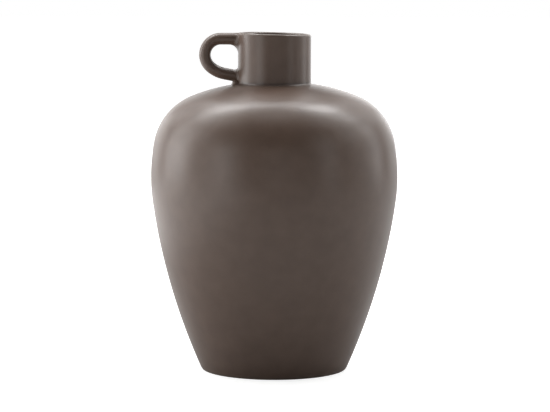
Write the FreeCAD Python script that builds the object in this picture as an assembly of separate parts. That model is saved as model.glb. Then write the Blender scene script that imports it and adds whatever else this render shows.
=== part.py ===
# Stoneware jar with a short neck and a one-finger loop handle, thrown in sections
# that are luted together with slip. Millimetres, +Z up. The origin is the centre
# of the standing plane, and the handle stands out towards -X.
import FreeCAD, Part
import math
import os

Vector = FreeCAD.Vector
ORIGIN = Vector(0, 0, 0)
UP = Vector(0, 0, 1)
ACROSS = Vector(0, 1, 0)

# Belly, the widest place, where the two body sections meet
belly_radius = 117.2
belly_height = 184.2

# Upper section: three arcs from the belly to the neck, each tangent to the next
upper_belly_arc_radius = 183.9
upper_belly_end_deg = 10.3
shoulder_arc_radius = 58.1
shoulder_end_deg = 68.0
dome_arc_radius = 184.0

# Lower section: the wall draws in to a rounded heel and a small foot edge
lower_belly_arc_radius = 172.0
lower_belly_end_deg = 8.0
wall_arc_radius = 587.0
heel_arc_radius = 12.0
heel_turn_deg = 13.2
foot_edge_radius = 2.0

# Clay thicknesses, and the inside corner between wall and floor
body_wall_thickness = 6.0
floor_thickness = 7.0
floor_cove_radius = 16.0

# Trimmed underside: a foot ring round a shallow recess
foot_ring_width = 9.0
ring_inner_edge_radius = 1.0
recess_depth = 3.0

# Neck collar: a plain cylinder with a rounded lip and a small fillet at its foot
neck_radius = 34.6
neck_length = 47.8
neck_wall_thickness = 5.0
neck_foot_fillet_radius = 2.0
throat_edge_radius = 3.0
rim_tilt_deg = 1.5
lip_round_share = 0.44

# Luted joints: slip thickness, bevelled belly rims, the collar's turned seat, and how
# far the round pads of slip show past the handle's ends
seam_thickness = 0.5
belly_bevel_deg = 25.0
seat_land_width = 0.4
seat_lip_height = 0.4
pad_margin_width = 0.4

# Loop handle: a pulled oval strap that leaves the neck level, bends round in two
# arcs and falls gently back to the neck's foot
handle_thickness = 10.5
handle_width = 14.0
handle_projection_length = 36.9
handle_rim_drop_height = 0.55
handle_landing_rise_height = 7.2
upper_bend_turn_deg = 138.8
lower_run_fall_deg = 10.5
lower_bend_share = 1.885

# Ends of the strap, spread where they are pressed and smeared onto the neck
top_inner_flare_length = 9.0
foot_inner_flare_length = 7.0
foot_outer_flare_length = 5.0
side_flare_length = 3.0
root_margin_depth = 1.0

# Sections of the strap, as shares of each stretch of its centreline
flare_station_shares = (0.0, 0.15, 0.3, 0.45, 0.6, 0.8, 1.0)
upper_bend_section_count = 8
lower_bend_section_count = 4

# Cutting tools run this far past what they cut, and edges this near a plane lie on it
overrun_length = 20.0
plane_tolerance_distance = 0.01


def polar(centre, radius, angle):
    """Point in the XZ plane at a radius and an angle from the +X direction."""
    return Vector(centre.x + radius * math.cos(angle), 0, centre.z + radius * math.sin(angle))


def bend(centre, radius, start, end):
    """Arc edge in the XZ plane, from one angle to another."""
    middle = (start + end) / 2
    points = [polar(centre, radius, angle) for angle in (start, middle, end)]
    return Part.Arc(*points).toShape()


def straight(start, end):
    return Part.LineSegment(start, end).toShape()


def turned(edges):
    """Solid of revolution about the jar's axis from a closed outline."""
    return Part.Face(Part.Wire(edges)).revolve(ORIGIN, UP, 360)


# Centres of the body's arcs: each lies on the line through the last arc's end and
# centre, so the outline runs on without a corner, and inner faces share the centres
quarter = math.pi / 2
upper_belly_end = math.radians(upper_belly_end_deg)
shoulder_end = math.radians(shoulder_end_deg)
lower_belly_end = math.radians(lower_belly_end_deg)
heel_turn = math.radians(heel_turn_deg)

upper_belly_centre = Vector(belly_radius - upper_belly_arc_radius, 0, belly_height)
shoulder_centre = polar(upper_belly_centre, upper_belly_arc_radius - shoulder_arc_radius, upper_belly_end)
dome_centre = polar(shoulder_centre, shoulder_arc_radius - dome_arc_radius, shoulder_end)
lower_belly_centre = Vector(belly_radius - lower_belly_arc_radius, 0, belly_height)
wall_centre = polar(lower_belly_centre, lower_belly_arc_radius - wall_arc_radius, -lower_belly_end)

# The wall arc stops where the heel and the foot edge just reach the standing plane
heel_to_edge = heel_arc_radius - foot_edge_radius
drop_along = wall_arc_radius - heel_arc_radius + heel_to_edge * math.cos(heel_turn)
drop_across = heel_to_edge * math.sin(heel_turn)
drop = wall_centre.z - foot_edge_radius
wall_end = math.asin(drop / math.hypot(drop_along, drop_across)) - math.atan2(drop_across, drop_along)
heel_end = wall_end + heel_turn
heel_centre = polar(wall_centre, wall_arc_radius - heel_arc_radius, -wall_end)
foot_edge_centre = polar(heel_centre, heel_to_edge, -heel_end)

# Heights and radii that follow
throat_radius = neck_radius - neck_wall_thickness
lip_radius = neck_wall_thickness * lip_round_share
floor_top = recess_depth + floor_thickness
neck_foot_height = dome_centre.z + math.sqrt(dome_arc_radius ** 2 - (neck_radius - dome_centre.x) ** 2)
rim_height = neck_foot_height + neck_length
rim_slope = math.tan(math.radians(rim_tilt_deg))
above_rim = rim_height + overrun_length

# The strap's half thickness, how deep its ends are cut into the neck, and the levels
# of its centreline at the top and where it lands
half_strap_thickness = handle_thickness / 2
end_half_width = handle_width / 2 + side_flare_length
root_depth = neck_radius - math.sqrt(neck_radius ** 2 - end_half_width ** 2) + root_margin_depth
strap_top = rim_height + neck_radius * rim_slope - handle_rim_drop_height
top_run_height = strap_top - half_strap_thickness
landing_height = neck_foot_height + handle_landing_rise_height
lower_run_fall = math.radians(lower_run_fall_deg)


def fillet_place(grow, throat, fillet):
    """Angle and centre of the fillet between the dome and an upright wall."""
    reach = dome_arc_radius + grow + fillet
    angle = math.acos((throat + fillet - dome_centre.x) / reach)
    return angle, polar(dome_centre, reach, angle)


def upper_edges(grow, throat, fillet):
    """Belly to above the rim and in to the axis, the body's arcs grown alike."""
    fillet_angle, fillet_centre = fillet_place(grow, throat, fillet)
    return [
        bend(upper_belly_centre, upper_belly_arc_radius + grow, 0, upper_belly_end),
        bend(shoulder_centre, shoulder_arc_radius + grow, upper_belly_end, shoulder_end),
        bend(dome_centre, dome_arc_radius + grow, shoulder_end, fillet_angle),
        bend(fillet_centre, fillet, fillet_angle + math.pi, math.pi),
        straight(Vector(throat, 0, fillet_centre.z), Vector(throat, 0, above_rim)),
        straight(Vector(throat, 0, above_rim), Vector(0, 0, above_rim)),
    ]


def foot_edges():
    """Underside and outer wall: axis, recess, foot ring, heel and up to the belly."""
    ring_start = foot_edge_centre.x - foot_ring_width
    inner_edge_centre = Vector(ring_start, 0, ring_inner_edge_radius)
    recess_corner_radius = recess_depth - ring_inner_edge_radius
    recess_centre = Vector(ring_start - recess_depth, 0, ring_inner_edge_radius)
    return [
        straight(Vector(0, 0, recess_depth), polar(recess_centre, recess_corner_radius, quarter)),
        bend(recess_centre, recess_corner_radius, quarter, 0),
        bend(inner_edge_centre, ring_inner_edge_radius, math.pi, math.pi + quarter),
        straight(Vector(ring_start, 0, 0), Vector(foot_edge_centre.x, 0, 0)),
        bend(foot_edge_centre, foot_edge_radius, -quarter, -heel_end),
        bend(heel_centre, heel_arc_radius, -heel_end, -wall_end),
        bend(wall_centre, wall_arc_radius, -wall_end, -lower_belly_end),
        bend(lower_belly_centre, lower_belly_arc_radius, -lower_belly_end, 0),
    ]


def cavity_floor_edges():
    """Inside floor, the cove round it and the inner wall up to the belly."""
    inner_wall_radius = wall_arc_radius - body_wall_thickness
    cove_reach = inner_wall_radius - floor_cove_radius
    cove_angle = math.asin((wall_centre.z - floor_top - floor_cove_radius) / cove_reach)
    cove_centre = polar(wall_centre, cove_reach, -cove_angle)
    return [
        straight(Vector(0, 0, floor_top), Vector(cove_centre.x, 0, floor_top)),
        bend(cove_centre, floor_cove_radius, -quarter, -cove_angle),
        bend(wall_centre, inner_wall_radius, -cove_angle, -lower_belly_end),
        bend(lower_belly_centre, lower_belly_arc_radius - body_wall_thickness, -lower_belly_end, 0),
    ]


def rim_edges(shape):
    """Edges that lie all round on the tilted rim plane."""
    found = []
    for edge in shape.Edges:
        points = [edge.valueAt(edge.FirstParameter), edge.valueAt(edge.LastParameter), edge.CenterOfMass]
        offsets = [abs(point.z - rim_height + point.x * rim_slope) for point in points]
        if max(offsets) < plane_tolerance_distance:
            found.append(edge)
    return found


def filled_jar():
    """Outer form with no hollow, cut level with the tilted rim and rounded there."""
    form = turned(foot_edges() + upper_edges(0, neck_radius, neck_foot_fillet_radius)
                  + [straight(Vector(0, 0, above_rim), Vector(0, 0, recess_depth))])
    side = 4 * neck_radius
    above = Part.makeBox(side, side, 2 * overrun_length, Vector(-side / 2, -side / 2, rim_height))
    above.rotate(Vector(0, 0, rim_height), ACROSS, rim_tilt_deg)
    form = form.cut(above)
    return form.makeFillet(lip_radius, rim_edges(form))


def hollow_jar(form):
    """The whole wall: the filled form less its cavity, with the lip's inner edge rounded."""
    cavity = turned(cavity_floor_edges()
                    + upper_edges(-body_wall_thickness, throat_radius, throat_edge_radius)
                    + [straight(Vector(0, 0, above_rim), Vector(0, 0, floor_top))])
    wall = form.cut(cavity)
    inner = [edge for edge in rim_edges(wall) if edge.BoundBox.XLength < 2 * throat_radius + lip_radius / 2]
    return wall.makeFillet(lip_radius, inner)


def below_belly_joint(lift):
    """Everything under the bevelled belly joint, lifted by the slip's thickness."""
    rise = math.tan(math.radians(belly_bevel_deg))
    far = belly_radius + overrun_length
    outer = Vector(far, 0, belly_height + lift - overrun_length * rise)
    inner = Vector(0, 0, belly_height + lift + belly_radius * rise)
    low_outer = Vector(far, 0, -overrun_length)
    low_inner = Vector(0, 0, -overrun_length)
    corners = [low_inner, low_outer, outer, inner, low_inner]
    return turned([straight(a, b) for a, b in zip(corners, corners[1:])])


def split_jar(wall):
    """Lower body, shoulder and neck collar, with the slip that lutes them."""
    fillet_angle, _ = fillet_place(0, neck_radius, neck_foot_fillet_radius)
    seat_radius = polar(dome_centre, dome_arc_radius, fillet_angle).x + seat_land_width
    seat_edge = dome_centre.z + math.sqrt(dome_arc_radius ** 2 - (seat_radius - dome_centre.x) ** 2)
    seat_floor = seat_edge - seat_lip_height - seam_thickness

    def above_seat(lift):
        return Part.makeCylinder(seat_radius, above_rim - seat_floor, Vector(0, 0, seat_floor + lift))

    body = wall.cut(above_seat(0))
    return {
        "lower_body": body.common(below_belly_joint(0)),
        "belly_slip_seam": body.common(below_belly_joint(seam_thickness)).cut(below_belly_joint(0)),
        "shoulder": body.cut(below_belly_joint(seam_thickness)),
        "neck_slip_seam": wall.common(above_seat(0)).cut(above_seat(seam_thickness)),
        "neck_collar": wall.common(above_seat(seam_thickness)),
    }


def spread(flare, distance):
    """Extra half size of the strap at a distance from the neck, none past the flare."""
    if distance >= flare:
        return 0
    return flare * (1 - (distance + root_depth) / (flare + root_depth)) ** 2


def strap_section(centre, angle, outer, inner, half_width):
    """Oval section: a unit circle stretched across the strap and along Y."""
    outward = polar(ORIGIN, 1, angle)
    middle = centre + outward * ((outer - inner) / 2)
    half = (outer + inner) / 2
    along = outward.cross(ACROSS)
    stretch = FreeCAD.Matrix(
        outward.x * half, 0, along.x, middle.x,
        outward.y * half, half_width, along.y, middle.y,
        outward.z * half, 0, along.z, middle.z,
        0, 0, 0, 1)
    return Part.Wire(Part.Circle().toShape().transformGeometry(stretch))


def end_section(distance, height, angle, outer_flare, inner_flare):
    """Section of a straight run, spread out where it nears the neck."""
    return strap_section(
        Vector(-neck_radius - distance, 0, height), angle,
        half_strap_thickness + spread(outer_flare, distance),
        half_strap_thickness + spread(inner_flare, distance),
        handle_width / 2 + spread(side_flare_length, distance))


def bend_section(centre, radius, angle):
    """Plain section in a bend, square to the centreline."""
    place = polar(centre, radius, angle)
    return strap_section(place, angle, half_strap_thickness, half_strap_thickness, handle_width / 2)


def handle_loop():
    """Strap lofted through oval sections square to its centreline."""
    reach = neck_radius + handle_projection_length - half_strap_thickness
    turn = quarter + math.radians(upper_bend_turn_deg)
    finish = math.pi + quarter - lower_run_fall

    # The upper bend's radius is what closes the loop from its top to its landing
    bend_height = 1 - math.sin(turn) + lower_bend_share * (math.sin(turn) - math.sin(finish))
    bend_depth = 1 + math.cos(turn) + lower_bend_share * (math.cos(finish) - math.cos(turn))
    fall = math.tan(lower_run_fall)
    closing = top_run_height - landing_height - fall * (reach - neck_radius)
    upper_bend_radius = closing / (bend_height - fall * bend_depth)
    lower_bend_radius = upper_bend_radius * lower_bend_share
    upper_centre = Vector(upper_bend_radius - reach, 0, top_run_height - upper_bend_radius)
    lower_centre = polar(upper_centre, upper_bend_radius - lower_bend_radius, turn)

    sections = []
    top_run = reach - upper_bend_radius - neck_radius
    for share in flare_station_shares:
        distance = share * (top_run + root_depth) - root_depth
        sections.append(end_section(distance, top_run_height, quarter, 0, top_inner_flare_length))
    for step in range(1, upper_bend_section_count):
        angle = quarter + (turn - quarter) * step / upper_bend_section_count
        sections.append(bend_section(upper_centre, upper_bend_radius, angle))
    for step in range(lower_bend_section_count):
        angle = turn + (finish - turn) * step / lower_bend_section_count
        sections.append(bend_section(lower_centre, lower_bend_radius, angle))
    lower_run = -neck_radius - polar(lower_centre, lower_bend_radius, finish).x
    for share in reversed(flare_station_shares):
        distance = share * (lower_run + root_depth) - root_depth
        height = landing_height + distance * fall
        sections.append(end_section(
            distance, height, finish, foot_outer_flare_length, foot_inner_flare_length))
    return Part.makeLoft(sections, True, False)


def slip_pad(skin, level, upper_flare, lower_flare):
    """Oval pad of slip on the neck behind one end of the strap, up to the strap's top."""
    up = half_strap_thickness + spread(upper_flare, 0) + pad_margin_width
    down = half_strap_thickness + spread(lower_flare, 0) + pad_margin_width
    half_width = handle_width / 2 + spread(side_flare_length, 0)
    falls_away = neck_radius - math.sqrt(neck_radius ** 2 - half_width ** 2)
    half_width = handle_width / 2 + spread(side_flare_length, -falls_away) + pad_margin_width
    start = Vector(lip_radius - neck_radius, 0, level)
    outline = strap_section(start, quarter, up, down, half_width)
    patch = Part.Face(outline).extrude(Vector(-overrun_length, 0, 0))
    side = 2 * overrun_length
    corner = Vector(-neck_radius - overrun_length, -overrun_length, strap_top)
    return skin.common(patch).cut(Part.makeBox(side, side, side, corner))


def lute_handle(form, loop):
    """Trim the strap to the neck, less the slip that fills the gap at each end."""
    slip_radius = neck_radius + seam_thickness
    slip_fillet_radius = neck_foot_fillet_radius - seam_thickness
    slip_form = turned(
        [straight(Vector(0, 0, belly_height), Vector(belly_radius + seam_thickness, 0, belly_height))]
        + upper_edges(seam_thickness, slip_radius, slip_fillet_radius)
        + [straight(Vector(0, 0, above_rim), Vector(0, 0, belly_height))])
    skin = slip_form.cut(form)
    return {
        "handle": loop.cut(slip_form),
        "handle_top_slip": slip_pad(skin, top_run_height, 0, top_inner_flare_length),
        "handle_bottom_slip": slip_pad(
            skin, landing_height, foot_inner_flare_length, foot_outer_flare_length),
    }


def build():
    form = filled_jar()
    pieces = split_jar(hollow_jar(form))
    pieces.update(lute_handle(form, handle_loop()))
    os.makedirs("parts", exist_ok=True)
    for node, shape in pieces.items():
        shape.exportStep("parts/" + node + ".step")
        print(node, "solids", len(shape.Solids), "volume", round(shape.Volume, 1))
    print("rim height", round(rim_height, 2), "foot ring radius", round(foot_edge_centre.x, 2))


build()
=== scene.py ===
# Stoneware jar with a short neck and a one-finger loop handle, in a satin dark taupe glaze.
# Metres, +Z up. The origin is the centre of the standing plane; the handle points to -X.
import math
import bmesh
import bpy
import numpy as np
from mathutils import Matrix, Vector


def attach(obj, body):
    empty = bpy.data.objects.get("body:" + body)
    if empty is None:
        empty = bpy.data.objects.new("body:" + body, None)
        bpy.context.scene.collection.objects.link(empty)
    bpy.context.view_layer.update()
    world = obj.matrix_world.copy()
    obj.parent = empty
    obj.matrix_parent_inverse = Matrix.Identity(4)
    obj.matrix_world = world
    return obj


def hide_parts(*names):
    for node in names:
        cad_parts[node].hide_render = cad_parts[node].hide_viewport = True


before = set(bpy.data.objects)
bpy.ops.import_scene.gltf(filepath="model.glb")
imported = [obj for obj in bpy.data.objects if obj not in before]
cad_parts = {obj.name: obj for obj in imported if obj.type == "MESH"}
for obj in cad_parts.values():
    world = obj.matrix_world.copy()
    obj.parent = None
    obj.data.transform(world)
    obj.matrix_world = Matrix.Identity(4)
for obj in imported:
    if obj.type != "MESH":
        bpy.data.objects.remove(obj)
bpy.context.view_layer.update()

# Lower body
# The thrown lower section of stoneware: floor, trimmed recess, foot ring, rounded heel and
# the wall up to the widest place. It stands on its foot ring and carries all the rest.
belly_radius = 0.1172
belly_height = 0.1842
lower_belly_arc_radius = 0.172
lower_belly_end_deg = 8.0
wall_arc_radius = 0.587
heel_arc_radius = 0.012
heel_turn_deg = 13.2
foot_edge_radius = 0.002
body_wall_thickness = 0.006
floor_thickness = 0.007
floor_cove_radius = 0.016
foot_ring_width = 0.009
ring_inner_edge_radius = 0.001
recess_depth = 0.003
belly_bevel_deg = 25.0
throwing_ring_pitch = 0.009
throwing_ring_depth = 0.0002
outline_step_length = 0.0016
outline_step_deg = 5.0
segments_round = 288
smooth_limit_deg = 38.0
weld_distance = 1e-6


def place(centre, radius, degrees):
    """Point of an outline, as radius and height, at an angle from the outward direction."""
    swing = math.radians(degrees)
    return centre[0] + radius * math.cos(swing), centre[1] + radius * math.sin(swing)


def arc(centre, radius, start, end):
    """Points along an arc of an outline, close enough together to look smooth."""
    length = radius * math.radians(abs(end - start))
    steps = math.ceil(length / outline_step_length)
    count = max(2, steps, math.ceil(abs(end - start) / outline_step_deg))
    return [place(centre, radius, start + (end - start) * i / count) for i in range(count + 1)]


def joined(*stretches):
    """One outline from stretches laid end to end, without its doubled points."""
    points = []
    for stretch in stretches:
        for point in stretch:
            if not points or math.dist(points[-1], point) > weld_distance:
                points.append(point)
    return points


def ringed(points):
    """An inner wall with the shallow rings that the potter's fingers leave."""
    waves = []
    for radius, height in points:
        wave = math.sin(2 * math.pi * height / throwing_ring_pitch)
        waves.append((radius + throwing_ring_depth * wave, height))
    return waves


def add(tree, kind, inputs=(), **settings):
    """New node with its settings, and its inputs linked or set."""
    made = tree.nodes.new(kind)
    for name, value in settings.items():
        setattr(made, name, value)
    for name, value in dict(inputs).items():
        if isinstance(value, bpy.types.NodeSocket):
            tree.links.new(value, made.inputs[name])
        else:
            made.inputs[name].default_value = value
    return made


def maths(tree, operation, *values, clamp=False):
    """Output of a maths node on up to three numbers or sockets."""
    node = add(tree, "ShaderNodeMath", dict(enumerate(values)), operation=operation, use_clamp=clamp)
    return node.outputs[0]


def declare(tree, direction, sockets):
    """Named inputs or outputs of a tree, with the inputs' values."""
    for name, (kind, value) in sockets.items():
        socket = tree.interface.new_socket(name, in_out=direction, socket_type="NodeSocket" + kind)
        if value is not None:
            socket.default_value = value


def wheel_tree():
    """Node tree that turns an outline of points about the jar's axis."""
    tree = bpy.data.node_groups.new("turned_on_the_wheel", "GeometryNodeTree")
    declare(tree, "INPUT", {
        "Outline": ("Geometry", None),
        "Segments Round": ("Int", segments_round),
        "Weld Distance": ("Float", weld_distance),
        "Finish": ("Material", None)})
    declare(tree, "OUTPUT", {"Turned Form": ("Geometry", None)})
    given = add(tree, "NodeGroupInput").outputs
    size = add(tree, "GeometryNodeAttributeDomainSize", {"Geometry": given["Outline"]})
    points = size.outputs["Point Count"]
    columns = maths(tree, "ADD", given["Segments Round"], 1)
    grid = add(tree, "GeometryNodeMeshGrid", {"Vertices X": points, "Vertices Y": columns})
    index = add(tree, "GeometryNodeInputIndex").outputs[0]
    row = maths(tree, "FLOOR", maths(tree, "DIVIDE", index, columns))
    share = maths(tree, "DIVIDE", maths(tree, "FLOORED_MODULO", index, columns), given["Segments Round"])
    position = add(tree, "GeometryNodeInputPosition").outputs[0]
    sample = add(tree, "GeometryNodeSampleIndex", data_type="FLOAT_VECTOR", inputs={
        "Geometry": given["Outline"], "Value": position, "Index": row})
    swing = add(tree, "ShaderNodeVectorRotate", rotation_type="Z_AXIS", inputs={
        "Vector": sample.outputs["Value"], "Angle": maths(tree, "MULTIPLY", share, 2 * math.pi)})
    turned_grid = add(tree, "GeometryNodeSetPosition", {
        "Geometry": grid.outputs["Mesh"], "Position": swing.outputs[0]})
    welded = add(tree, "GeometryNodeMergeByDistance", {
        "Geometry": turned_grid.outputs[0], "Distance": given["Weld Distance"]})
    real = add(tree, "GeometryNodeRealizeInstances", {"Geometry": welded.outputs[0]})
    painted = add(tree, "GeometryNodeSetMaterial", {
        "Geometry": real.outputs[0], "Material": given["Finish"]})
    add(tree, "NodeGroupOutput", {"Turned Form": painted.outputs[0]})
    return tree


turned_on_the_wheel = wheel_tree()


def finished(name, mesh):
    """Object for a closed mesh: faces outwards, smooth, and crisp past the smooth limit."""
    work = bmesh.new()
    work.from_mesh(mesh)
    bmesh.ops.dissolve_degenerate(work, dist=weld_distance, edges=work.edges)
    bmesh.ops.recalc_face_normals(work, faces=work.faces)
    work.to_mesh(mesh)
    work.free()
    mesh.name = name
    for polygon in mesh.polygons:
        polygon.use_smooth = True
    mesh.set_sharp_from_angle(angle=math.radians(smooth_limit_deg))
    piece = bpy.data.objects.new(name, mesh)
    bpy.context.scene.collection.objects.link(piece)
    return piece


def turned(name, outline, material):
    """Solid piece of a closed outline turned about the axis."""
    mesh = bpy.data.meshes.new(name + "_outline")
    mesh.from_pydata([(radius, 0, height) for radius, height in outline], [], [])
    blank = bpy.data.objects.new(name + "_blank", mesh)
    bpy.context.scene.collection.objects.link(blank)
    turning = blank.modifiers.new("turning", "NODES")
    turning.node_group = turned_on_the_wheel
    finish_socket = turned_on_the_wheel.interface.items_tree["Finish"].identifier
    turning[finish_socket] = material
    evaluated = blank.evaluated_get(bpy.context.evaluated_depsgraph_get())
    solid = bpy.data.meshes.new_from_object(evaluated)
    bpy.data.objects.remove(blank)
    return finished(name, solid)


def glaze_skin_group():
    """Colour, roughness and relief of a satin glaze: soft mottling, iron specks, an
    orange-peel ripple, thin places on edges, pools in hollows and clay wiped bare."""
    tree = bpy.data.node_groups.new("satin_glaze_skin", "ShaderNodeTree")
    declare(tree, "INPUT", {
        "Body Colour": ("Color", (0.1170, 0.0785, 0.0600, 1)),
        "Thin Colour": ("Color", (0.13, 0.098, 0.078, 1)),
        "Pool Colour": ("Color", (0.05, 0.036, 0.03, 1)),
        "Clay Colour": ("Color", (0.19, 0.14, 0.11, 1)),
        "Thin": ("Float", 0.0),
        "Pool": ("Float", 0.0),
        "Bare": ("Float", 0.0),
        "Mottle Size": ("Float", 0.014),
        "Mottle Strength": ("Float", 0.08),
        "Speck Size": ("Float", 0.0022),
        "Speck Strength": ("Float", 0.35),
        "Speck Core": ("Float", 0.05),
        "Speck Rim": ("Float", 0.16),
        "Roughness": ("Float", 0.35),
        "Roughness Spread": ("Float", 0.05),
        "Patch Size": ("Float", 0.024),
        "Speck Rarity": ("Float", 0.82),
        "Clay Roughness": ("Float", 0.85),
        "Clay Relief": ("Float", 0.00005),
        "Ripple Size": ("Float", 0.0045),
        "Ripple Height": ("Float", 0.000012),
        "Grain Size": ("Float", 0.0004),
        "Grain Height": ("Float", 0.0000015)})
    declare(tree, "OUTPUT", {
        "Colour": ("Color", None),
        "Roughness": ("Float", None),
        "Height": ("Float", None)})
    given = add(tree, "NodeGroupInput").outputs
    where = add(tree, "ShaderNodeTexCoord").outputs["Object"]

    def cloud(size, detail):
        return add(tree, "ShaderNodeTexNoise", {
            "Vector": where, "Scale": maths(tree, "DIVIDE", 1.0, size), "Detail": detail}).outputs["Fac"]

    def blend(share, below, above):
        return add(tree, "ShaderNodeMix", data_type="RGBA", inputs={
            "Factor": share, "A": below, "B": above}).outputs["Result"]

    mottle = cloud(given["Mottle Size"], 5.0)
    swing = maths(tree, "MULTIPLY", maths(tree, "SUBTRACT", mottle, 0.5), given["Mottle Strength"])
    shade = maths(tree, "MULTIPLY_ADD", swing, 4.0, 1.0)
    mottled = add(tree, "ShaderNodeVectorMath", {
        0: given["Body Colour"], "Scale": shade}, operation="SCALE").outputs[0]
    mottled = blend(given["Thin"], mottled, given["Thin Colour"])
    mottled = blend(given["Pool"], mottled, given["Pool Colour"])
    cells = add(tree, "ShaderNodeTexVoronoi", {
        "Vector": where, "Scale": maths(tree, "DIVIDE", 1.0, given["Speck Size"])})
    speck = add(tree, "ShaderNodeMapRange", {
        "Value": cells.outputs["Distance"], "From Min": given["Speck Core"],
        "From Max": given["Speck Rim"], "To Min": 1.0, "To Max": 0.0})
    rare = maths(tree, "GREATER_THAN", add(tree, "ShaderNodeSeparateColor", {
        "Color": cells.outputs["Color"]}).outputs[0], given["Speck Rarity"])
    shown = maths(tree, "MULTIPLY", speck.outputs[0], rare)
    speck_share = maths(tree, "MULTIPLY", shown, given["Speck Strength"])
    specked = blend(speck_share, mottled, given["Pool Colour"])
    clay_grain = cloud(given["Grain Size"], 2.0)
    clay = add(tree, "ShaderNodeVectorMath", {
        0: given["Clay Colour"], "Scale": maths(tree, "MULTIPLY_ADD", clay_grain, 0.5, 0.75)},
        operation="SCALE").outputs[0]
    colour = blend(given["Bare"], specked, clay)

    patch = cloud(given["Patch Size"], 3.0)
    satin = maths(tree, "MULTIPLY_ADD", maths(tree, "SUBTRACT", patch, 0.5), given["Roughness Spread"],
                  given["Roughness"])
    rougher = maths(tree, "SUBTRACT", given["Clay Roughness"], satin)
    satin = maths(tree, "MULTIPLY_ADD", given["Bare"], rougher, satin)
    ripple = maths(tree, "MULTIPLY", cloud(given["Ripple Size"], 1.0), given["Ripple Height"])
    grain = maths(tree, "MULTIPLY", clay_grain, given["Grain Height"])
    bare_grain = maths(tree, "MULTIPLY", given["Bare"], clay_grain)
    clay_relief = maths(tree, "MULTIPLY", bare_grain, given["Clay Relief"])
    height = maths(tree, "ADD", maths(tree, "ADD", ripple, grain), clay_relief)
    add(tree, "NodeGroupOutput", {"Colour": colour, "Roughness": satin, "Height": height})
    return tree


glaze_skin = glaze_skin_group()
liner_roughness = 0.30
liner_mottle_strength = 0.14
facing_in_limit = 0.05
facing_up_limit = 0.3
foot_thin_share = 0.5
bare_line_wander_scale = 180.0
bare_line_height = 0.0007
bare_line_softness = 0.0003
foot_thin_height = 0.004


def band(tree, value, start, end):
    """Mask that rises smoothly from 0 at the start to 1 at the end."""
    return add(tree, "ShaderNodeMapRange", {
        "Value": value, "From Min": start, "From Max": end}, interpolation_type="SMOOTHSTEP").outputs[0]


def glaze(name, masks=None, **values):
    """Glaze material: the skin group with its own values on a dielectric shader."""
    material = bpy.data.materials.new(name)
    material.use_nodes = True
    tree = material.node_tree
    skin = add(tree, "ShaderNodeGroup", node_tree=glaze_skin)
    for label, value in values.items():
        skin.inputs[label.replace("_", " ").title()].default_value = value
    if masks:
        for label, mask in masks(tree).items():
            tree.links.new(mask, skin.inputs[label])
    relief = add(tree, "ShaderNodeBump", {
        "Height": skin.outputs["Height"], "Distance": 1.0, "Strength": 1.0})
    shader = tree.nodes["Principled BSDF"]
    tree.links.new(skin.outputs["Colour"], shader.inputs["Base Color"])
    tree.links.new(skin.outputs["Roughness"], shader.inputs["Roughness"])
    tree.links.new(relief.outputs["Normal"], shader.inputs["Normal"])
    return material


def body_masks(tree):
    """Glaze runs thin at the heel's lower edge, and the ring that stands is wiped bare."""
    where = add(tree, "ShaderNodeTexCoord").outputs["Object"]
    height = add(tree, "ShaderNodeSeparateXYZ", {0: where}).outputs["Z"]
    wander = add(tree, "ShaderNodeTexNoise", {
        "Vector": where, "Scale": bare_line_wander_scale}).outputs["Fac"]
    line = maths(tree, "MULTIPLY_ADD", wander, bare_line_softness, height)
    heel = band(tree, height, foot_thin_height, bare_line_height)
    return {
        "Thin": maths(tree, "MULTIPLY", heel, foot_thin_share),
        "Bare": band(tree, line, bare_line_height + bare_line_softness, bare_line_height)}


satin_glaze = glaze("satin_taupe_glaze", body_masks)
liner_glaze = glaze("satin_taupe_liner", roughness=liner_roughness, mottle_strength=liner_mottle_strength)


def line_inside(piece):
    """Give the faces round the hollow the liner glaze, which is poured in and out."""
    piece.data.materials.append(liner_glaze)
    for face in piece.data.polygons:
        outward = Vector((face.center.x, face.center.y, 0)).normalized().dot(face.normal)
        on_floor = face.normal.z > facing_up_limit and face.center.z < floor_top + floor_cove_radius
        under_shoulder = face.normal.z < -facing_up_limit and face.center.z > belly_height
        faces_in = outward < -facing_in_limit or on_floor or under_shoulder
        if face.center.z > floor_top - weld_distance and faces_in:
            face.material_index = 1


lower_belly_centre = (belly_radius - lower_belly_arc_radius, belly_height)
wall_centre = place(lower_belly_centre, lower_belly_arc_radius - wall_arc_radius, -lower_belly_end_deg)
heel_to_edge = heel_arc_radius - foot_edge_radius
heel_turn = math.radians(heel_turn_deg)
drop_along = wall_arc_radius - heel_arc_radius + heel_to_edge * math.cos(heel_turn)
drop_across = heel_to_edge * math.sin(heel_turn)
drop_share = (wall_centre[1] - foot_edge_radius) / math.hypot(drop_along, drop_across)
wall_end_deg = math.degrees(math.asin(drop_share) - math.atan2(drop_across, drop_along))
heel_end_deg = wall_end_deg + heel_turn_deg
heel_centre = place(wall_centre, wall_arc_radius - heel_arc_radius, -wall_end_deg)
foot_edge_centre = place(heel_centre, heel_to_edge, -heel_end_deg)
ring_start = foot_edge_centre[0] - foot_ring_width
recess_centre = (ring_start - recess_depth, ring_inner_edge_radius)
floor_top = recess_depth + floor_thickness
inner_wall_radius = wall_arc_radius - body_wall_thickness
cove_reach = inner_wall_radius - floor_cove_radius
cove_angle_deg = math.degrees(math.asin((wall_centre[1] - floor_top - floor_cove_radius) / cove_reach))
cove_centre = place(wall_centre, cove_reach, -cove_angle_deg)

# The bevelled joint at the belly climbs inwards across the wall, onto the upper arc
upper_belly_arc_radius = 0.1839
upper_belly_centre = (belly_radius - upper_belly_arc_radius, belly_height)
inner_belly_arc_radius = upper_belly_arc_radius - body_wall_thickness
bevel_rise = body_wall_thickness * math.tan(math.radians(belly_bevel_deg))


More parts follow.
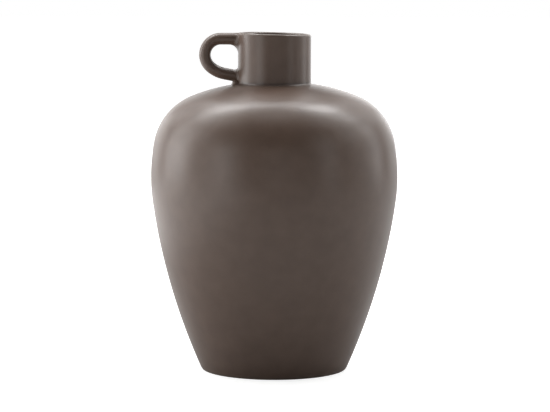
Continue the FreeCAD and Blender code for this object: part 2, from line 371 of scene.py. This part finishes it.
def inner_joint_deg(lift):
    """Angle on the inner belly arc of the joint face, lifted by the slip's thickness."""
    return math.degrees(math.asin((bevel_rise + lift) / inner_belly_arc_radius))


lower_body = turned("jar_lower_body", joined(
    [(0, recess_depth)],
    arc(recess_centre, recess_depth - ring_inner_edge_radius, 90, 0),
    arc((ring_start, ring_inner_edge_radius), ring_inner_edge_radius, 180, 270),
    arc(foot_edge_centre, foot_edge_radius, -90, -heel_end_deg),
    arc(heel_centre, heel_arc_radius, -heel_end_deg, -wall_end_deg),
    arc(wall_centre, wall_arc_radius, -wall_end_deg, -lower_belly_end_deg),
    arc(lower_belly_centre, lower_belly_arc_radius, -lower_belly_end_deg, 0),
    ringed(joined(
        arc(upper_belly_centre, inner_belly_arc_radius, inner_joint_deg(0), 0),
        arc(lower_belly_centre, lower_belly_arc_radius - body_wall_thickness, 0, -lower_belly_end_deg),
        arc(wall_centre, inner_wall_radius, -lower_belly_end_deg, -cove_angle_deg))),
    arc(cove_centre, floor_cove_radius, -cove_angle_deg, -90),
    [(0, floor_top)]), satin_glaze)
line_inside(lower_body)
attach(lower_body, "root")
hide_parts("lower_body")

# Belly slip seam
# The ring of liquid clay that lutes the two body sections at the widest place. It was
# wiped level before the glaze went on, so only its glazed edges are on the surface.
seam_thickness = 0.0005
seam_top_deg = math.degrees(seam_thickness / upper_belly_arc_radius)
belly_slip_seam = turned("jar_belly_slip_seam", joined(
    arc(upper_belly_centre, upper_belly_arc_radius, 0, seam_top_deg),
    ringed(arc(upper_belly_centre, inner_belly_arc_radius,
               inner_joint_deg(seam_thickness), inner_joint_deg(0))),
    [(belly_radius, belly_height)]), satin_glaze)
line_inside(belly_slip_seam)
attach(belly_slip_seam, "root")
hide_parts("belly_slip_seam")

# Shoulder
# The thrown upper section, from the belly over the round shoulder to the neck's seat.
# It was set rim to rim on the lower body while both were leather hard.
upper_belly_end_deg = 10.3
shoulder_arc_radius = 0.0581
shoulder_end_deg = 68.0
dome_arc_radius = 0.184
neck_radius = 0.0346
neck_wall_thickness = 0.005
neck_foot_fillet_radius = 0.002
throat_edge_radius = 0.003
seat_land_width = 0.0004
seat_lip_height = 0.0004
shoulder_reach = upper_belly_arc_radius - shoulder_arc_radius
shoulder_centre = place(upper_belly_centre, shoulder_reach, upper_belly_end_deg)
dome_centre = place(shoulder_centre, shoulder_arc_radius - dome_arc_radius, shoulder_end_deg)
throat_radius = neck_radius - neck_wall_thickness


def dome_height(radius):
    """Height of the dome's outside at a distance from the axis."""
    return dome_centre[1] + np.sqrt(dome_arc_radius ** 2 - (radius - dome_centre[0]) ** 2)


def fillet_place(grow, wall_radius, fillet_radius):
    """Angle and centre of the fillet between the dome and an upright wall."""
    reach = dome_arc_radius + grow + fillet_radius
    angle = math.degrees(math.acos((wall_radius + fillet_radius - dome_centre[0]) / reach))
    return angle, place(dome_centre, reach, angle)


foot_fillet_deg, foot_fillet_centre = fillet_place(0, neck_radius, neck_foot_fillet_radius)
throat_deg, throat_edge_centre = fillet_place(-body_wall_thickness, throat_radius, throat_edge_radius)
seat_radius = place(dome_centre, dome_arc_radius, foot_fillet_deg)[0] + seat_land_width
seat_floor = dome_height(seat_radius) - seat_lip_height - seam_thickness
seat_deg = math.degrees(math.acos((seat_radius - dome_centre[0]) / dome_arc_radius))
inner_shoulder_radius = shoulder_arc_radius - body_wall_thickness
shoulder = turned("jar_shoulder", joined(
    arc(upper_belly_centre, upper_belly_arc_radius, seam_top_deg, upper_belly_end_deg),
    arc(shoulder_centre, shoulder_arc_radius, upper_belly_end_deg, shoulder_end_deg),
    arc(dome_centre, dome_arc_radius, shoulder_end_deg, seat_deg),
    [(seat_radius, seat_floor), (throat_radius, seat_floor)],
    arc(throat_edge_centre, throat_edge_radius, 180, 180 + throat_deg),
    ringed(joined(
        arc(dome_centre, dome_arc_radius - body_wall_thickness, throat_deg, shoulder_end_deg),
        arc(shoulder_centre, inner_shoulder_radius, shoulder_end_deg, upper_belly_end_deg),
        arc(upper_belly_centre, inner_belly_arc_radius,
            upper_belly_end_deg, inner_joint_deg(seam_thickness)))),
    [place(upper_belly_centre, upper_belly_arc_radius, seam_top_deg)]), satin_glaze)
line_inside(shoulder)
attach(shoulder, "root")
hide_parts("shoulder")

# Neck slip seam
# The flat ring of slip in the shoulder's turned seat. Once glazed, it shows only as the
# thin band between shoulder and neck inside the throat.
neck_slip_seam = turned("jar_neck_slip_seam", [
    (throat_radius, seat_floor),
    (seat_radius, seat_floor),
    (seat_radius, seat_floor + seam_thickness),
    (throat_radius, seat_floor + seam_thickness),
    (throat_radius, seat_floor)], liner_glaze)
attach(neck_slip_seam, "root")
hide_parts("neck_slip_seam")

# Neck collar
# A thrown cylinder with a rounded lip, luted on its seat. The potter's wire cut it a
# little out of level, so the rim stands higher on the handle's side.
neck_length = 0.0478
rim_tilt_deg = 1.49
lip_radius = 0.0022
lip_thin_depth = 0.0022
lip_thin_share = 0.8
neck_pool_height = 0.0022
neck_pool_share = 0.5
rim_slope = math.tan(math.radians(rim_tilt_deg))
rim_height = dome_height(neck_radius) + neck_length
lip_height = rim_height - lip_radius
tilt_start_height = rim_height - 0.012
collar_base = seat_floor + seam_thickness


def upright(radius, start, end):
    """Points up or down a straight wall of an outline."""
    count = math.ceil(abs(end - start) / outline_step_length)
    return [(radius, start + (end - start) * i / count) for i in range(count + 1)]


def neck_masks(tree):
    """Glaze runs thin over the lip and gathers in the hollow at the neck's foot."""
    where = add(tree, "ShaderNodeTexCoord").outputs["Object"]
    axes = add(tree, "ShaderNodeSeparateXYZ", {0: where}).outputs
    level = maths(tree, "MULTIPLY_ADD", axes["X"], rim_slope, axes["Z"])
    low = band(tree, axes["Z"], foot_fillet_centre[1] + neck_pool_height, foot_fillet_centre[1])
    lip_thin = band(tree, level, rim_height - lip_thin_depth, rim_height)
    return {"Thin": maths(tree, "MULTIPLY", lip_thin, lip_thin_share),
            "Pool": maths(tree, "MULTIPLY", low, neck_pool_share)}


neck_glaze = glaze("satin_taupe_neck", neck_masks)
neck_collar = turned("jar_neck_collar", joined(
    [(throat_radius, collar_base), (seat_radius, collar_base)],
    arc(dome_centre, dome_arc_radius, seat_deg, foot_fillet_deg),
    arc(foot_fillet_centre, neck_foot_fillet_radius, 180 + foot_fillet_deg, 180),
    upright(neck_radius, foot_fillet_centre[1], lip_height),
    arc((neck_radius - lip_radius, lip_height), lip_radius, 0, 90),
    arc((throat_radius + lip_radius, lip_height), lip_radius, 90, 180),
    upright(throat_radius, lip_height, collar_base)), neck_glaze)
for vertex in neck_collar.data.vertices:
    lean = (vertex.co.z - tilt_start_height) / (rim_height - tilt_start_height)
    vertex.co.z -= max(lean, 0) * vertex.co.x * rim_slope
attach(neck_collar, "root")
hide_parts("neck_collar")

# Loop handle
# A pulled oval strap of clay, bent into a loop for one finger. Both ends were pressed on
# the neck and thumbed out, so the strap runs into the neck in a hollow curve all round.
handle_thickness = 0.0111
handle_width = 0.014
handle_projection_length = 0.0369
handle_rim_drop_height = 0.00055
handle_landing_rise_height = 0.0072
upper_bend_turn_deg = 138.8
lower_run_fall_deg = 10.5
lower_bend_share = 1.885
top_outer_flow = (0.006, 0.0004)
top_inner_flow = (0.0085, 0.0085)
top_side_flow = (0.0038, 0.0038)
landing_outer_flow = (0.0016, 0.0016)
landing_inner_flow = (0.004, 0.004)
landing_side_flow = (0.0032, 0.0032)
root_depth = 0.0008
ray_length = 0.05
halvings = 40
sides_round = 96
end_steps = 18
upper_bend_steps = 44
lower_bend_steps = 28
half_thickness = handle_thickness / 2
half_width = handle_width / 2
strap_top = rim_height + neck_radius * rim_slope - handle_rim_drop_height
top_run_height = strap_top - half_thickness
landing_height = dome_height(neck_radius) + handle_landing_rise_height
fall = math.tan(math.radians(lower_run_fall_deg))
strap_reach = neck_radius + handle_projection_length - half_thickness
turn_deg = 90 + upper_bend_turn_deg
finish_deg = 270 - lower_run_fall_deg

# The upper bend's radius is what closes the loop from its top to its landing
turn, finish = math.radians(turn_deg), math.radians(finish_deg)
bend_height = 1 - math.sin(turn) + lower_bend_share * (math.sin(turn) - math.sin(finish))
bend_depth = 1 + math.cos(turn) + lower_bend_share * (math.cos(finish) - math.cos(turn))
closing = top_run_height - landing_height - fall * (strap_reach - neck_radius)
upper_bend_radius = closing / (bend_height - fall * bend_depth)
lower_bend_radius = upper_bend_radius * lower_bend_share
upper_centre = (upper_bend_radius - strap_reach, top_run_height - upper_bend_radius)
lower_centre = place(upper_centre, upper_bend_radius - lower_bend_radius, turn_deg)
around = np.linspace(0, 2 * math.pi, sides_round, endpoint=False)
oval_across, oval_out = np.cos(around), np.sin(around)


def jar_radius(points):
    """Outside radius of dome, fillet, neck and lip at the heights of points near the neck."""
    height = points[:, 2]
    fillet_start = dome_height(seat_radius - seat_land_width)
    above_centre = height - dome_centre[1]
    on_dome = dome_centre[0] + np.sqrt(np.maximum(dome_arc_radius ** 2 - above_centre ** 2, 0))
    below = np.clip(foot_fillet_centre[1] - height, 0, neck_foot_fillet_radius)
    on_fillet = foot_fillet_centre[0] - np.sqrt(neck_foot_fillet_radius ** 2 - below ** 2)
    over = np.clip(height - lip_height + points[:, 0] * rim_slope, 0, lip_radius)
    on_neck = neck_radius - lip_radius + np.sqrt(lip_radius ** 2 - over ** 2)
    lower = np.where(height < fillet_start, on_dome, on_fillet)
    return np.where(height < foot_fillet_centre[1], lower, on_neck)


def distance_to_jar(start, direction):
    """How far along a direction rays from outside reach the jar's surface."""
    near, far = np.zeros(len(start)), np.full(len(start), ray_length)
    for _ in range(halvings):
        middle = (near + far) / 2
        points = start + middle[:, None] * direction
        inside = np.hypot(points[:, 0], points[:, 1]) < jar_radius(points)
        far = np.where(inside, middle, far)
        near = np.where(inside, near, middle)
    return far


def oval(centre, outward_deg, grow=0):
    """Oval section of the strap, its surface moved out square to itself."""
    outward = place((0, 0), 1, outward_deg)
    square = np.stack([oval_across * half_thickness, oval_out * half_width], axis=1)
    square /= np.linalg.norm(square, axis=1)[:, None]
    across = oval_across * half_width + grow * square[:, 0]
    out = oval_out * half_thickness + grow * square[:, 1]
    return np.stack([centre[0] + out * outward[0], across, centre[1] + out * outward[1]], axis=1)


def flow_round(outer, inner, side):
    """Length and height of the hollow curve at a strap's end, all round the section."""
    flows = []
    for outer_size, inner_size, side_size in zip(outer, inner, side):
        upright_size = np.where(oval_out > 0, outer_size, inner_size)
        flows.append(side_size + (upright_size - side_size) * oval_out ** 2)
    return flows


def pressed_end(height, outward_deg, fall_deg, flows):
    """Rings that follow the strap's straight run into the jar, spreading as they reach it."""
    direction = np.array([math.cos(math.radians(fall_deg)), 0, -math.sin(math.radians(fall_deg))])
    start = (-strap_reach, height + (strap_reach - neck_radius) * math.tan(math.radians(fall_deg)))
    lengths, heights = flows
    rings = []
    for step in range(end_steps + 1):
        swing = math.pi / 2 * step / end_steps
        section = oval(start, outward_deg, heights * (1 - math.cos(swing)))
        travel = distance_to_jar(section, direction) - lengths * (1 - math.sin(swing))
        rings.append(section + travel[:, None] * direction)
    rings.append(rings[-1] + root_depth * direction)
    return rings


def lofted(name, rings, material):
    """Closed solid through rings of points, with a fan of faces over each end."""
    points = np.concatenate([rings[0].mean(axis=0)[None], *rings, rings[-1].mean(axis=0)[None]])
    count, last = len(rings[0]), len(points) - 1
    faces = []
    for side in range(count):
        after = (side + 1) % count
        faces.append((0, 1 + after, 1 + side))
        faces.append((last, last - count + side, last - count + after))
        for ring in range(len(rings) - 1):
            low, high = 1 + ring * count, 1 + (ring + 1) * count
            faces.append((low + side, low + after, high + after, high + side))
    mesh = bpy.data.meshes.new(name)
    mesh.from_pydata(points.tolist(), [], faces)
    mesh.materials.append(material)
    return finished(name, mesh)


top_end = pressed_end(top_run_height, 90, 0, flow_round(top_outer_flow, top_inner_flow, top_side_flow))
landing_end = pressed_end(landing_height, finish_deg, lower_run_fall_deg,
                          flow_round(landing_outer_flow, landing_inner_flow, landing_side_flow))
bends = []
for step in range(upper_bend_steps + 1):
    angle = 90 + upper_bend_turn_deg * step / upper_bend_steps
    bends.append(oval(place(upper_centre, upper_bend_radius, angle), angle))
for step in range(1, lower_bend_steps + 1):
    angle = turn_deg + (finish_deg - turn_deg) * step / lower_bend_steps
    bends.append(oval(place(lower_centre, lower_bend_radius, angle), angle))
handle = lofted("jar_handle", top_end[::-1] + bends + landing_end, satin_glaze)
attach(handle, "root")
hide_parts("handle")

# Upper handle slip
# Slip squeezed out when the strap's upper end was pressed on, and smeared thin over the
# neck with a thumb. It fades to nothing at its uneven edge.
slip_rings = 28
smear_width = 0.0125
smear_up = 0.0030
smear_down = 0.0150
smear_thickness = 0.00025
smear_top_share = 0.3
wobble_share = 0.05
slip_burial = 0.0008
slip_shares = [(ring + 1) / slip_rings for ring in range(slip_rings)]


def wobble(angles):
    """Uneven edge of a smear made by hand."""
    return 1 + wobble_share * (np.sin(3 * angles + 1) + 0.6 * np.sin(5 * angles + 2))


def fade(share, top_share):
    """Smooth fall from 1 on the top of a smear to 0 at its edge."""
    ramp = np.clip((share - top_share) / (1 - top_share), 0, 1)
    return 0.5 + 0.5 * np.cos(math.pi * ramp)


def smeared(name, ring_at, thickness, top_share):
    """Closed patch of slip: rings out over its top, then back under the surface."""
    top_rings = [ring_at(share, thickness * fade(share, top_share)) for share in slip_shares]
    buried_rings = [ring_at(share, -slip_burial) for share in reversed(slip_shares)]
    return lofted(name, top_rings + buried_rings, satin_glaze)


def smear_ring(share, lift):
    """Ring on the neck round the strap's upper end, lifted off it."""
    down = np.where(oval_out > 0, smear_up, smear_down)
    angle = share * smear_width * oval_across * wobble(around) / neck_radius
    height = top_run_height + share * down * oval_out
    radius = neck_radius + lift
    return np.stack([-radius * np.cos(angle), radius * np.sin(angle), height], axis=1)


top_slip = smeared("jar_handle_top_slip", smear_ring, smear_thickness, smear_top_share)
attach(top_slip, "root")
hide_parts("handle_top_slip")

# Lower handle slip
# A thicker pad of slip, thumbed into the wedge between the strap's lower end and the
# shoulder. It makes a small mound round the landing at the neck's foot.
mound_centre_inset = 0.0009
mound_outward = 0.0058
mound_inward = 0.0040
mound_width = 0.0098
mound_height = 0.0040
mound_top_share = 0.62


def mound_ring(share, lift):
    """Ring on the shoulder round the strap's landing, lifted off it."""
    along = np.where(oval_out > 0, mound_inward, mound_outward)
    x = -neck_radius - mound_centre_inset + share * along * oval_out * wobble(around)
    y = share * mound_width * oval_across * wobble(around)
    return np.stack([x, y, dome_height(np.hypot(x, y)) + lift], axis=1)


bottom_slip = smeared("jar_handle_bottom_slip", mound_ring, mound_height, mound_top_share)
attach(bottom_slip, "root")
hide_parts("handle_bottom_slip")

# Studio
# A pale floor under soft light, seen by the camera from a little above the rim.
camera_distance = 2.3
camera_height = 0.39908
camera_side = 0.00072
camera_pitch = 0.10535
camera_roll = 0.002
focal_pixels = 2427.66
picture_width_pixels = 550
sensor_width = 36.0
camera_data = bpy.data.cameras.new("camera")
camera_data.sensor_fit = "HORIZONTAL"
camera_data.sensor_width = sensor_width
camera_data.lens = sensor_width * focal_pixels / picture_width_pixels
camera = bpy.data.objects.new("camera", camera_data)
bpy.context.scene.collection.objects.link(camera)
camera.matrix_world = (Matrix.Translation((camera_side, -camera_distance, camera_height))
                       @ Matrix.Rotation(math.pi / 2 - camera_pitch, 4, "X")
                       @ Matrix.Rotation(camera_roll, 4, "Z"))
bpy.context.scene.camera = camera
bpy.context.scene.view_settings.view_transform = "Standard"

floor_half = 12.0
floor_mesh = bpy.data.meshes.new("floor")
floor_mesh.from_pydata([
    (-floor_half, -floor_half, 0), (floor_half, -floor_half, 0),
    (floor_half, floor_half, 0), (-floor_half, floor_half, 0)], [], [(0, 1, 2, 3)])
floor = bpy.data.objects.new("floor", floor_mesh)
bpy.context.scene.collection.objects.link(floor)
pale_floor = bpy.data.materials.new("pale_floor")
pale_floor.use_nodes = True
floor_mesh.materials.append(pale_floor)
# To the camera the floor also glows: evenly white far off, but dimmer near the jar, which is painted
# shade round the foot that deepens its contact shadow.
floor_albedo_seen = 0.5
floor_glow_in_painted_shade = 0.78
floor_glow_far = 1.02
floor_painted_shade_radius = 0.1
floor_far_radius = 0.42
floor_albedo_in_glaze = 0.47
floor_tree = pale_floor.node_tree
floor_tree.nodes.remove(floor_tree.nodes["Principled BSDF"])
seen_directly = add(floor_tree, "ShaderNodeLightPath").outputs["Is Camera Ray"]
floor_shade = add(floor_tree, "ShaderNodeMix", data_type="FLOAT", inputs={
    "Factor": seen_directly, "A": floor_albedo_in_glaze, "B": floor_albedo_seen}).outputs["Result"]
floor_matt = add(floor_tree, "ShaderNodeBsdfDiffuse", {"Color": floor_shade}).outputs[0]
from_axis = add(floor_tree, "ShaderNodeVectorMath", {
    0: add(floor_tree, "ShaderNodeTexCoord").outputs["Object"]}, operation="LENGTH").outputs["Value"]
# The glow dims towards the jar: painted shade round the foot.
floor_glow = add(floor_tree, "ShaderNodeMapRange", {
    "Value": from_axis, "From Min": floor_painted_shade_radius, "From Max": floor_far_radius,
    "To Min": floor_glow_in_painted_shade, "To Max": floor_glow_far}, interpolation_type="SMOOTHSTEP").outputs[0]
floor_light = add(floor_tree, "ShaderNodeEmission", {
    "Strength": maths(floor_tree, "MULTIPLY", seen_directly, floor_glow)}).outputs[0]
floor_sum = add(floor_tree, "ShaderNodeAddShader", {0: floor_matt, 1: floor_light}).outputs[0]
floor_tree.links.new(floor_sum, floor_tree.nodes["Material Output"].inputs["Surface"])

# The air is white to the eye and dark to the glaze, so that only the lamps light the jar
backdrop_white = 1.0
world = bpy.data.worlds.new("studio_air")
world.use_nodes = True
air_tree = world.node_tree
air_seen = add(air_tree, "ShaderNodeLightPath").outputs["Is Camera Ray"]
air_tree.nodes["Background"].inputs["Color"].default_value = (1, 1, 1, 1)
air_tree.links.new(maths(air_tree, "MULTIPLY", air_seen, backdrop_white),
                   air_tree.nodes["Background"].inputs["Strength"])
bpy.context.scene.world = world

# Soft lamps on a dome about the jar: degrees to the right of the camera, degrees up, half
# width and half height in degrees, and radiance. Tall narrow ones draw the bands on the
# flanks; the brightest stand high behind, as over a white sweep.
dome_distance = 2.5
dome_aim = Vector((0, 0, 0.16))
dome_lamps = (
    (0, 8, 13, 13, 0.55),
    (24, 8, 13, 13, 0.30),
    (96, 8, 13, 13, 0.76),
    (144, 8, 13, 13, 1.43),
    (168, 8, 13, 13, 2.57),
    (192, 8, 13, 13, 1.80),
    (216, 8, 13, 13, 1.98),
    (264, 8, 13, 13, 2.48),
    (312, 8, 13, 13, 1.70),
    (90, 32, 13, 13, 1.11),
    (120, 32, 13, 13, 0.90),
    (150, 32, 13, 13, 1.29),
    (210, 32, 13, 13, 0.97),
    (270, 32, 13, 13, 1.32),
    (90, 57, 13, 13, 1.12),
    (270, 57, 13, 13, 1.67),
    (0, 86, 13, 13, 1.27),
    (246, 14, 4, 22, 6.42),
    (262, 14, 4, 22, 4.93),
    (105, 14, 4, 22, 1.29),
    (112, 14, 4, 22, 3.62),
    (298, 14, 6, 22, 0.60),
    (312, 14, 6, 22, 0.83),
    (52, 14, 6, 22, 1.71),
    (79, 14, 6, 22, 0.66),
    (286, 14, 6, 22, 0.91),
    (125, 55, 7, 7, 5.89),
    (235, 55, 7, 7, 7.86),
    (114, 46, 7, 7, 6.59),
    (246, 46, 7, 7, 7.05),
    (138, 60, 7, 7, 15.38),
    (222, 60, 7, 7, 11.75),
    (180, 48, 9, 9, 3.83),
    (210, 48, 9, 9, 1.30),
    (160, 64, 9, 9, 4.66),
    (200, 64, 9, 9, 5.78),
    (135, 30, 9, 9, 0.52),
    (225, 30, 9, 9, 1.52))


def hung(name, light, location, aim):
    """Lamp that shines from a place towards another, out of the camera's sight."""
    lamp = bpy.data.objects.new(name, light)
    bpy.context.scene.collection.objects.link(lamp)
    lamp.location = location
    lamp.rotation_euler = (Vector(aim) - Vector(location)).to_track_quat("-Z", "Y").to_euler()
    lamp.visible_camera = False


for azimuth_deg, elevation_deg, half_width_deg, half_height_deg, radiance in dome_lamps:
    light = bpy.data.lights.new(f"dome_lamp_{azimuth_deg}_{elevation_deg}", "AREA")
    light.shape = "ELLIPSE" if half_width_deg == half_height_deg else "RECTANGLE"
    light.size = 2 * dome_distance * math.tan(math.radians(half_width_deg))
    light.size_y = 2 * dome_distance * math.tan(math.radians(half_height_deg))
    area = light.size * light.size_y * (math.pi / 4 if light.shape == "ELLIPSE" else 1)
    light.energy = radiance * math.pi * area
    azimuth, elevation = math.radians(azimuth_deg), math.radians(elevation_deg)
    level = math.cos(elevation)
    bearing = Vector((level * math.sin(azimuth), -level * math.cos(azimuth), math.sin(elevation)))
    hung(light.name, light, dome_aim + dome_distance * bearing, dome_aim)

# Two low lamps at the sides stand for the bright sweep that the flanks mirror
low_lamps = (("low_lamp_left", -1.27, 1.02), ("low_lamp_right", 1.27, 0.17))
low_lamp_width = 1.8
low_lamp_depth = 2.6
low_lamp_height = 0.01
for name, sideways, radiance in low_lamps:
    light = bpy.data.lights.new(name, "AREA")
    light.shape = "RECTANGLE"
    light.size = low_lamp_width
    light.size_y = low_lamp_depth
    light.energy = radiance * math.pi * low_lamp_width * low_lamp_depth
    hung(name, light, (sideways, 0, low_lamp_height), (sideways, 0, 1))
